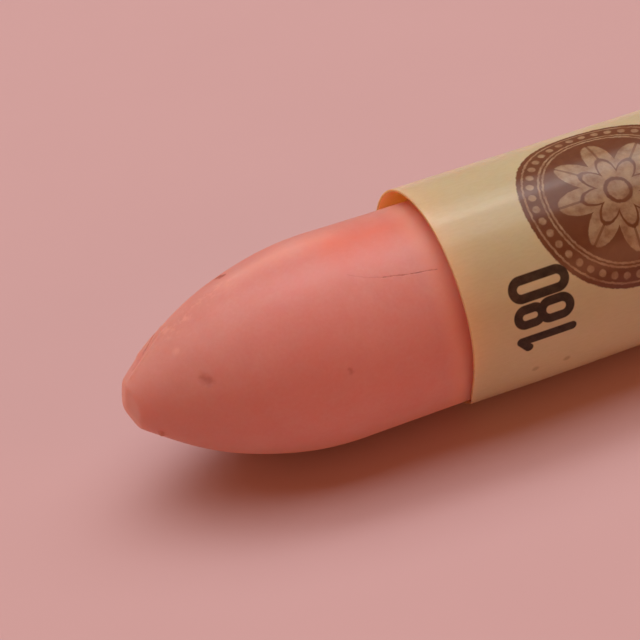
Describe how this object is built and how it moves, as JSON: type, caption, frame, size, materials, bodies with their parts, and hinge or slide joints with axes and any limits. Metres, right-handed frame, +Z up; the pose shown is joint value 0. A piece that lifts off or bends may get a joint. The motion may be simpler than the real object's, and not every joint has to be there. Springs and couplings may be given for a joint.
{
  "type": "oil pastel",
  "caption": "Round oil pastel lying on its side: a moulded stick with a worn bullet nose in a rolled paper sleeve that slides off over its flat end.",
  "frame": {"origin": "on the surface that the pastel lies on, under the middle of its length", "axes": "+X along the pastel from its nose to its flat end, +Z up, +Y away from the reader"},
  "size_m": [0.07, 0.0104, 0.0104],
  "materials": {
    "oil_wax": "satin",
    "coated_paper": "satin"
  },
  "bodies": {
    "stick": {"pastel_stick": "oil_wax"},
    "sleeve": {"paper_sleeve": "coated_paper"}
  },
  "joints": [
    {"name": "sleeve_slide", "type": "slide", "parent": "stick", "child": "sleeve", "axis": [1, 0, 0], "range_m": [-0.01415, 0.056]}
  ]
}
